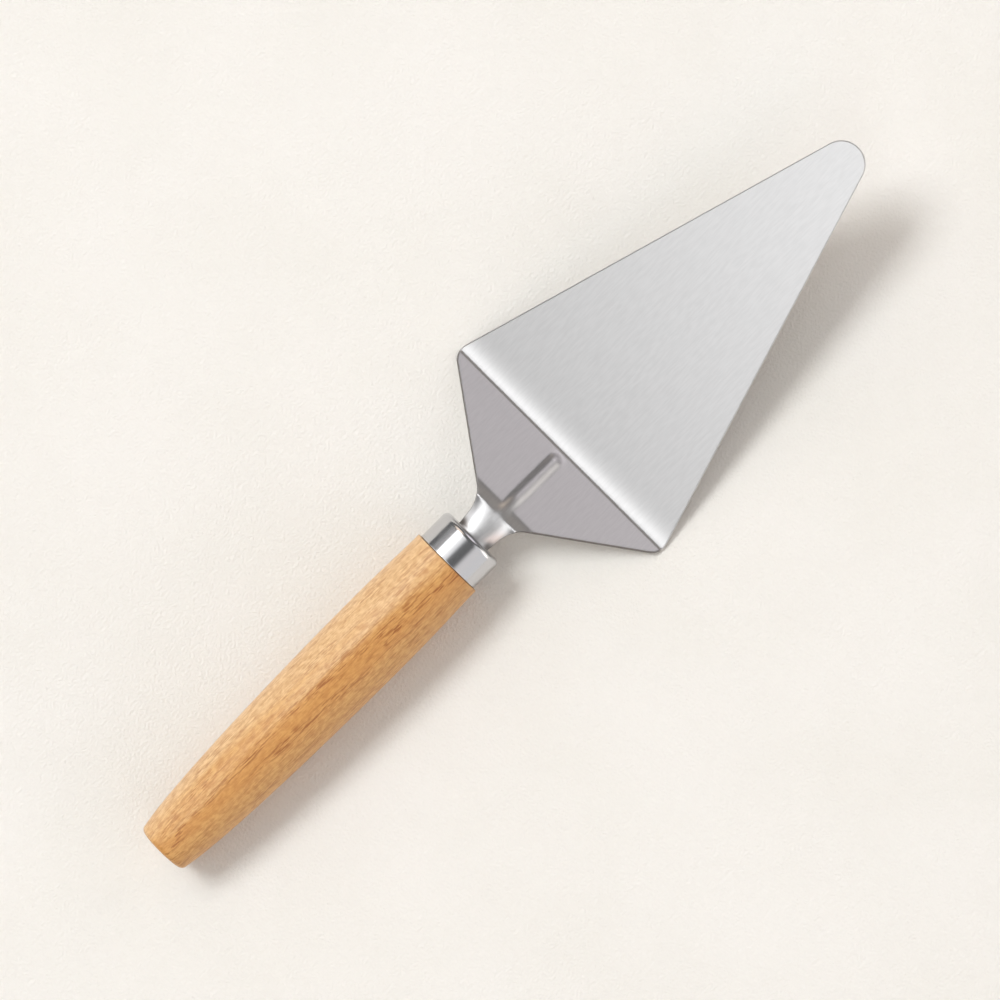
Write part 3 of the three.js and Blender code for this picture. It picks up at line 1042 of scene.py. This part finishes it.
@dataclass(frozen=True)
class Ferrule:
    """The drawn cup between neck and handle, its closed end towards the blade. Lengths in millimetres."""

    fit: Fit
    length: float = 10.0
    diameter: float = 20.2
    round: float = 1.6
    lip: float = 0.2
    slot_edge: float = 0.1
    finish: Finish = field(default_factory=PolishedSteel)

    SEGMENTS = 192
    ROUND_STEPS = 10
    LIP_STEPS = 3
    SHARP_ANGLE = 40.0
    LEAST_FALL = 1e-6

    @property
    def radius(self) -> float:
        """Outer radius."""
        return self.diameter / 2

    @property
    def bore(self) -> float:
        """Inner radius."""
        return self.radius - self.fit.ferrule_wall

    @property
    def inner_round(self) -> float:
        """Radius of the round inside the closed end."""
        return self.round - self.fit.ferrule_wall

    def slot_reach(self, angle: np.ndarray) -> np.ndarray:
        """Finds how far the arched slot for the neck reaches from the axis.

        Args:
            angle: directions about the axis, from +Y towards +Z.

        Returns:
            The distances.
        """
        radius = self.fit.neck_radius + self.fit.sheet / 2 + self.fit.gap
        towards_centre = self.fit.neck_centre * np.sin(angle)
        to_arc = towards_centre + np.sqrt(towards_centre**2 - self.fit.neck_centre**2 + radius**2)
        floor = self.fit.neck_feet - self.fit.gap
        below = np.minimum(np.sin(angle), -self.LEAST_FALL)
        return np.where(np.sin(angle) < 0.0, np.minimum(to_arc, floor / below), to_arc)

    @staticmethod
    def arc(centre: Point, radius: float, start: float, end: float, steps: int) -> list[Point]:
        """Draws an arc of the cup's section.

        Args:
            centre: x and distance from the axis.
            radius: the arc's radius.
            start: where it starts, in degrees from outwards towards +X.
            end: where it ends.
            steps: how many steps it has.

        Returns:
            x and distance from the axis of each point.
        """
        angles = np.radians(np.linspace(start, end, steps + 1))
        return [(centre[0] + radius * math.sin(a), centre[1] + radius * math.cos(a)) for a in angles]

    def build(self) -> bpy.types.Object:
        """Draws the cup as one closed skin, turned about X, with the slot through its closed end.

        Returns:
            The piece, in the tool's frame.
        """
        inside = -self.fit.ferrule_wall
        back = -self.length
        section = [
            *self.arc((-self.round, self.radius - self.round), self.round, 90.0, 0.0, self.ROUND_STEPS),
            (-self.round - self.lip, self.radius),
            (back + 2 * self.lip, self.radius),
            *self.arc((back + self.lip, self.radius - self.lip), self.lip, 0.0, -90.0, self.LIP_STEPS),
            *self.arc((back + self.lip, self.bore + self.lip), self.lip, -90.0, -180.0, self.LIP_STEPS),
            (back + 2 * self.lip, self.bore),
            (inside - self.inner_round - self.lip, self.bore),
            *self.arc(
                (inside - self.inner_round, self.bore - self.inner_round),
                self.inner_round, 0.0, 90.0, self.ROUND_STEPS,
            ),
        ]
        angle = np.linspace(0.0, math.tau, self.SEGMENTS, endpoint=False)
        slot = self.slot_reach(angle)
        rings = [(np.full_like(angle, x), np.full_like(angle, reach)) for x, reach in section]
        edge = self.slot_edge
        for x, out in ((inside, edge), (inside + edge, 0.0), (-edge, 0.0), (0.0, edge)):
            rings.append((np.full_like(angle, x), slot + out))
        points = np.concatenate(
            [np.stack((x, reach * np.cos(angle), reach * np.sin(angle)), axis=1) for x, reach in rings]
        )
        index = np.arange(len(points)).reshape(len(rings), self.SEGMENTS)
        faces: list[Sequence[int]] = []
        for ring in range(len(rings)):
            faces += band_faces(index[ring - 1], index[ring], closed=True)
        piece = new_piece("polished_ferrule", points, faces)
        piece.data.shade_smooth()
        piece.data.set_sharp_from_angle(angle=math.radians(self.SHARP_ANGLE))
        return piece

    def dress(self, piece: bpy.types.Object) -> None:
        """Gives the piece its finish."""
        piece.data.materials.append(self.finish.material())


@cache
def turned_run_group() -> bpy.types.NodeTree:
    """Makes the geometry group that turns one run of a profile, drawn in X and Y, about the X axis."""
    graph = new_group(
        "Turned run",
        "GeometryNodeTree",
        {"Run": "Geometry", "Steps": "Int", "Segments": "Int"},
        {"Mesh": "Geometry"},
    )
    given, result = graph.tree.nodes
    grid = graph.node(
        "GeometryNodeMeshGrid",
        {
            "Size X": 1.0,
            "Size Y": 1.0,
            "Vertices X": graph.math("ADD", given.outputs["Steps"], 1.0),
            "Vertices Y": graph.math("ADD", given.outputs["Segments"], 1.0),
        },
    )
    place = graph.node("ShaderNodeSeparateXYZ", {0: graph.node("GeometryNodeInputPosition").outputs[0]})
    sample = graph.node(
        "GeometryNodeSampleCurve",
        {"Curves": given.outputs["Run"], "Factor": graph.math("ADD", place.outputs["X"], 0.5)},
        mode="FACTOR",
        use_all_curves=True,
    )
    drawn = graph.node("ShaderNodeSeparateXYZ", {0: sample.outputs["Position"]})
    angle = graph.math("MULTIPLY", graph.math("ADD", place.outputs["Y"], 0.5), -math.tau)
    turned = graph.point(
        drawn.outputs["X"],
        graph.math("MULTIPLY", drawn.outputs["Y"], graph.math("COSINE", angle)),
        graph.math("MULTIPLY", drawn.outputs["Y"], graph.math("SINE", angle)),
    )
    moved = graph.node("GeometryNodeSetPosition", {"Geometry": grid.outputs["Mesh"], "Position": turned})
    graph.fill(result, {"Mesh": moved.outputs["Geometry"]})
    return graph.tree


@dataclass(frozen=True)
class Handle:
    """The turned wooden handle, with a spigot for the ferrule and a bore for the tang. Millimetres."""

    fit: Fit
    blade: Blade
    ferrule: Ferrule
    length: float = 110.6
    belly_diameter: float = 23.0
    belly_setback: float = 26.6
    belly_run: float = 44.0
    front_diameter: float = 21.9
    front_run: float = 14.0
    shoulder_round: float = 0.2
    seam: float = 0.05
    butt_diameter: float = 16.0
    butt_round: float = 2.0
    butt_swell: float = 1.7
    butt_swell_run: float = 8.0
    drill_point: float = 3.0
    finish: Finish = field(default_factory=OiledWood)

    SEGMENTS = 128
    BARREL_STEPS = 60
    FRONT_STEPS = 30
    ROUND_STEPS = 8
    POINTS_PER_STEP = 4
    MERGE_DISTANCE = 0.0005
    SHARP_ANGLE = 35.0

    def rolled_reach(self, half_width: float) -> float:
        """Finds how far the edge of the rolled sheet reaches from the handle's axis.

        Args:
            half_width: half its flat width.

        Returns:
            The distance.
        """
        angle = half_width / self.fit.neck_radius
        radius = self.fit.neck_radius + self.fit.sheet / 2
        return math.hypot(radius * math.sin(angle), self.fit.neck_centre + radius * math.cos(angle))

    @property
    def sizes(self) -> dict[str, float]:
        """Gives the named inputs of the handle's tree."""
        room = self.fit.glue_line + 2 * self.fit.gap
        return {
            "Front": -self.ferrule.length - self.seam,
            "Length": self.length,
            "Belly Radius": self.belly_diameter / 2,
            "Belly Setback": self.belly_setback,
            "Belly Run": self.belly_run,
            "Front Radius": self.front_diameter / 2,
            "Front Run": self.front_run,
            "Shoulder Round": self.shoulder_round,
            "Butt Radius": self.butt_diameter / 2,
            "Butt Round": self.butt_round,
            "Butt Swell": self.butt_swell,
            "Butt Swell Run": self.butt_swell_run,
            "Spigot Front": -self.fit.ferrule_wall - self.fit.gap,
            "Spigot Radius": self.ferrule.bore - self.fit.gap,
            "Spigot Chamfer": self.ferrule.inner_round,
            "Mouth Radius": self.rolled_reach(self.blade.neck_half) + room,
            "Bore Radius": self.rolled_reach(self.blade.tang_width / 2) + room,
            "Bore Shoulder": self.blade.shoulder_back - room,
            "Bore End": self.blade.tang_end - room,
            "Drill Point": self.drill_point,
        }

    def tree(self) -> bpy.types.NodeTree:
        """Makes the geometry tree of the handle: its profile run by run, each turned about the axis.

        Returns:
            The tree, whose inputs are the handle's sizes.
        """
        sockets = {name: "Float" for name in self.sizes} | {"Segments": "Int", "Material": "Material"}
        graph = new_group("Turned handle", "GeometryNodeTree", sockets, {"Mesh": "Geometry"})
        given, result = graph.tree.nodes
        size = given.outputs

        def plus(first: Any, second: Any) -> bpy.types.NodeSocket:
            """Adds two sizes."""
            return graph.math("ADD", first, second)

        def less(first: Any, second: Any) -> bpy.types.NodeSocket:
            """Takes the second size from the first."""
            return graph.math("SUBTRACT", first, second)

        front, belly = size["Front"], size["Belly Radius"]
        butt, mouth = size["Butt Radius"], size["Spigot Front"]
        back = less(front, size["Length"])
        barrel_start = plus(back, size["Butt Round"])
        belly_at = less(front, size["Belly Setback"])
        rim = graph.point(back, less(butt, size["Butt Round"]))
        barrel = graph.point(barrel_start, butt)
        fattest = graph.point(belly_at, belly)
        neck = graph.point(less(front, size["Shoulder Round"]), size["Front Radius"])
        shoulder = graph.point(front, less(size["Front Radius"], size["Shoulder Round"]))
        chamfer = less(mouth, size["Spigot Chamfer"])
        straight = [
            shoulder,
            graph.point(front, size["Spigot Radius"]),
            graph.point(chamfer, size["Spigot Radius"]),
            graph.point(mouth, less(size["Spigot Radius"], size["Spigot Chamfer"])),
            graph.point(mouth, size["Mouth Radius"]),
            graph.point(size["Bore Shoulder"], size["Bore Radius"]),
            graph.point(size["Bore End"], size["Bore Radius"]),
            graph.point(less(size["Bore End"], size["Drill Point"]), 0.0),
        ]

        def line(start: Any, end: Any) -> bpy.types.NodeSocket:
            """Draws a straight run."""
            return graph.node("GeometryNodeCurvePrimitiveLine", {"Start": start, "End": end}).outputs[0]

        def rounding(start: Any, corner: Any, end: Any) -> bpy.types.NodeSocket:
            """Draws a rounded edge."""
            count = self.POINTS_PER_STEP * self.ROUND_STEPS
            inputs = {"Resolution": count, "Start": start, "Middle": corner, "End": end}
            return graph.node("GeometryNodeCurveQuadraticBezier", inputs).outputs[0]

        def sweep(start: Any, start_pull: Any, end_pull: Any, end: Any) -> bpy.types.NodeSocket:
            """Draws a long curve of the barrel."""
            count = self.POINTS_PER_STEP * self.BARREL_STEPS
            ends = {"Resolution": count, "Start": start, "End": end}
            pulls = {"Start Handle": start_pull, "End Handle": end_pull}
            return graph.node("GeometryNodeCurvePrimitiveBezierSegment", ends | pulls).outputs[0]

        half_front = graph.math("DIVIDE", size["Front Run"], 2.0)
        swell = graph.point(plus(barrel_start, size["Butt Swell Run"]), plus(butt, size["Butt Swell"]))
        into_belly = graph.point(less(belly_at, size["Belly Run"]), belly)
        from_belly = graph.point(plus(belly_at, size["Front Run"]), belly)
        into_front = graph.point(less(front, half_front), size["Front Radius"])
        runs = [
            (line(graph.point(back, 0.0), rim), self.ROUND_STEPS),
            (rounding(rim, graph.point(back, butt), barrel), self.ROUND_STEPS),
            (sweep(barrel, swell, into_belly, fattest), self.BARREL_STEPS),
            (sweep(fattest, from_belly, into_front, neck), self.FRONT_STEPS),
            (rounding(neck, graph.point(front, size["Front Radius"]), shoulder), self.ROUND_STEPS),
            *((line(start, end), 1) for start, end in zip(straight, straight[1:])),
        ]
        joined = graph.node("GeometryNodeJoinGeometry")
        for run, steps in runs:
            inputs = {"Run": run, "Steps": steps, "Segments": size["Segments"]}
            graph.fill(joined, {0: graph.group(turned_run_group(), inputs)})
        inputs = {"Geometry": joined.outputs[0], "Distance": self.MERGE_DISTANCE}
        closed = graph.node("GeometryNodeMergeByDistance", inputs)
        real = graph.node("GeometryNodeRealizeInstances", {"Geometry": closed.outputs[0]})
        inputs = {"Geometry": real.outputs[0], "Material": size["Material"]}
        dressed = graph.node("GeometryNodeSetMaterial", inputs)
        graph.fill(result, {"Mesh": dressed.outputs[0]})
        return graph.tree

    def build(self) -> bpy.types.Object:
        """Turns the handle and keeps it as a plain mesh.

        Returns:
            The piece, in the tool's frame.
        """
        piece = new_piece("turned_handle", np.empty((0, 3)), [])
        tree = self.tree()
        values = self.sizes | {"Segments": self.SEGMENTS, "Material": self.finish.material()}
        modifier = piece.modifiers.new("Turned handle", "NODES")
        modifier.node_group = tree
        for item in tree.interface.items_tree:
            if item.in_out == "INPUT":
                modifier[item.identifier] = values[item.name]
        evaluated = piece.evaluated_get(bpy.context.evaluated_depsgraph_get())
        piece.data = bpy.data.meshes.new_from_object(evaluated)
        piece.modifiers.clear()
        piece.data.name = piece.name
        piece.data.shade_smooth()
        piece.data.set_sharp_from_angle(angle=math.radians(self.SHARP_ANGLE))
        return piece


@dataclass(frozen=True)
class TangGlue:
    """The glue round the tang. The part's own solid stays, with a finish of its own."""

    finish: Finish = field(default_factory=CuredGlue)

    def dress(self, piece: bpy.types.Object) -> None:
        """Gives the solid its finish."""
        piece.data.materials.clear()
        piece.data.materials.append(self.finish.material())


def way_to(lean: float, bearing: float) -> Vector:
    """Finds the way to a light.

    Args:
        lean: its angle from straight up, in degrees.
        bearing: its angle round the table, from +X towards +Y, in degrees.

    Returns:
        The way, of length 1.
    """
    down, turn = math.radians(lean), math.radians(bearing)
    return Vector((math.sin(down) * math.cos(turn), math.sin(down) * math.sin(turn), math.cos(down)))


@dataclass(frozen=True)
class Panel:
    """A soft patch of light in the studio round the table.

    It is full within core of its middle and gone beyond reach. Angles are in degrees.
    """

    lean: float
    bearing: float
    core: float
    reach: float
    glow: Rgb


@dataclass(frozen=True)
class Studio:
    """Table, light and camera. Lengths are in metres, angles in degrees."""

    floor_side: float = 8.0
    key_lean: float = 37.0
    key_bearing: float = 99.0
    key_distance: float = 5.0
    key_spread: tuple[float, float] = (34.0, 17.0)
    key_power: float = 128.0
    key_tint: Rgb = (0.92, 0.97, 1.0)
    walls: Rgb = (0.16, 0.16, 0.16)
    backdrop: Rgb = (0.90, 0.86, 0.81)
    camera_place: tuple[float, float, float] = (-0.00865, -0.02664, 1.3)
    camera_turn: tuple[float, float, float] = (1.267, -0.338, -45.143)
    camera_lens: float = 169.98
    camera_reach: float = 100.0
    panels: tuple[Panel, ...] = (
        Panel(20.0, 178.0, 5.0, 14.0, (1.62, 1.65, 1.65)),
        Panel(21.0, 119.0, 2.0, 18.0, (1.4, 1.4, 1.4)),
        Panel(34.0, -144.0, 2.0, 17.0, (1.7, 1.8, 1.85)),
        Panel(37.0, 99.0, 6.0, 14.0, (4.9, 5.0, 5.1)),
        Panel(50.0, 62.0, 8.0, 24.0, (1.35, 1.1, 0.9)),
        Panel(50.0, -120.0, 4.0, 20.0, (0.75, 0.4, 0.25)),
        Panel(64.0, -78.0, 29.0, 44.0, (0.74, 0.73, 0.73)),
        Panel(66.0, 0.0, 4.0, 22.0, (1.12, 1.05, 1.1)),
        Panel(66.0, 119.0, 11.0, 28.0, (1.3, 1.3, 1.3)),
        Panel(84.0, -60.0, 10.0, 30.0, (1.3, 1.2, 1.1)),
    )

    def lay_floor(self) -> None:
        """Lays the table's top at z = 0."""
        half = self.floor_side / 2
        around = ((-half, -half), (half, -half), (half, half), (-half, half))
        corners = np.array([(x, y, 0.0) for x, y in around])
        floor = new_piece("table_top", corners, [(0, 1, 2, 3)])
        floor.data.materials.append(Plaster().material())

    def hang_key(self) -> None:
        """Hangs the key light, an oval soft box. A panel stands in for it in reflections."""
        light = bpy.data.lights.new("key_light", "AREA")
        light.shape = "ELLIPSE"
        light.size, light.size_y = (
            2 * self.key_distance * math.tan(math.radians(spread / 2)) for spread in self.key_spread
        )
        light.energy = self.key_power
        light.color = self.key_tint
        towards = way_to(self.key_lean, self.key_bearing)
        key = bpy.data.objects.new("key_light", light)
        key.visible_glossy = False
        key.location = towards * self.key_distance
        key.rotation_mode = "QUATERNION"
        key.rotation_quaternion = towards.to_track_quat("Z", "Y")
        bpy.context.scene.collection.objects.link(key)

    def paint_walls(self) -> None:
        """Paints the studio round the table: dim walls with soft patches of light."""
        world = bpy.data.worlds.new("studio")
        world.use_nodes = True
        bpy.context.scene.world = world
        graph = Graph(world.node_tree)
        graph.tree.nodes.clear()
        way = graph.node("ShaderNodeTexCoord").outputs["Generated"]
        colour: Any = self.walls
        for panel in self.panels:
            inputs = {0: way, 1: way_to(panel.lean, panel.bearing)}
            facing = graph.node("ShaderNodeVectorMath", inputs, operation="DOT_PRODUCT")
            edge, core = (math.cos(math.radians(angle)) for angle in (panel.reach, panel.core))
            share = graph.between(facing.outputs["Value"], edge, core)
            colour = graph.vector("MULTIPLY_ADD", graph.point(share, share, share), panel.glow, colour)
        seen = graph.node("ShaderNodeLightPath").outputs["Is Camera Ray"]
        colour = graph.blend(seen, colour, (*self.backdrop, 1.0))
        background = graph.node("ShaderNodeBackground", {"Color": colour})
        graph.node("ShaderNodeOutputWorld", {"Surface": background.outputs[0]})

    def place_camera(self) -> None:
        """Places the camera almost straight over the tool, as the photograph was taken."""
        lens = bpy.data.cameras.new("camera")
        lens.lens = self.camera_lens
        lens.clip_end = self.camera_reach
        camera = bpy.data.objects.new("camera", lens)
        camera.location = self.camera_place
        camera.rotation_mode = "ZYX"
        camera.rotation_euler = [math.radians(turn) for turn in self.camera_turn]
        bpy.context.scene.collection.objects.link(camera)
        bpy.context.scene.camera = camera

    def build(self) -> None:
        """Sets up table, light, walls, camera and colour."""
        self.lay_floor()
        self.hang_key()
        self.paint_walls()
        self.place_camera()
        bpy.context.scene.view_settings.view_transform = "Standard"


def lay_down(pieces: Sequence[bpy.types.Object]) -> None:
    """Lays the pieces on the table as the part lies, in metres.

    The tilt is read from the mount on the handle's butt. The origin is on the table, under the middle
    of the tool.

    Args:
        pieces: the pieces, in the tool's frame.
    """
    mounts = {mount["name"]: mount for mount in frame["record"]["mounts"]}
    butt = Vector(mounts["handle_butt"]["axis"])
    tilt = Matrix.Rotation(math.atan2(butt.z, -butt.x), 4, "Y")
    for piece in pieces:
        piece.data.transform(tilt @ Matrix.Scale(MILLIMETRE, 4))
    corners = [Vector(vertex.co) for piece in pieces for vertex in piece.data.vertices]
    middle = (max(c.x for c in corners) + min(c.x for c in corners)) / 2
    lowest = min(c.z for c in corners)
    for piece in pieces:
        piece.data.transform(Matrix.Translation((-middle, 0.0, -lowest)))


def main() -> None:
    """Builds the studio and the tool, piece by piece."""
    logging.basicConfig(level=logging.INFO, format="%(name)s: %(message)s")
    Studio().build()
    fit = Fit()
    blade = Blade(fit)
    ferrule = Ferrule(fit)
    handle = Handle(fit, blade, ferrule)
    sheet, cup, barrel = blade.build(), ferrule.build(), handle.build()
    blade.dress(sheet)
    ferrule.dress(cup)
    lay_down([sheet, cup, barrel])
    for piece, node, slot in (
        (sheet, Node.BLADE, Slot.BLADE),
        (cup, Node.FERRULE, Slot.FERRULE),
        (barrel, Node.HANDLE, Slot.HANDLE),
    ):
        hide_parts(node.value)
        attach(piece, ROOT_BODY)
        log.info("%s: %d faces, stands for %s", piece.name, len(piece.data.polygons), node.value)
    glue = frame["nodes"][Node.GLUE.value]
    TangGlue().dress(glue)
    log.info("%s: the part's own solid", glue.name)


if __name__ == "__main__":
    main()
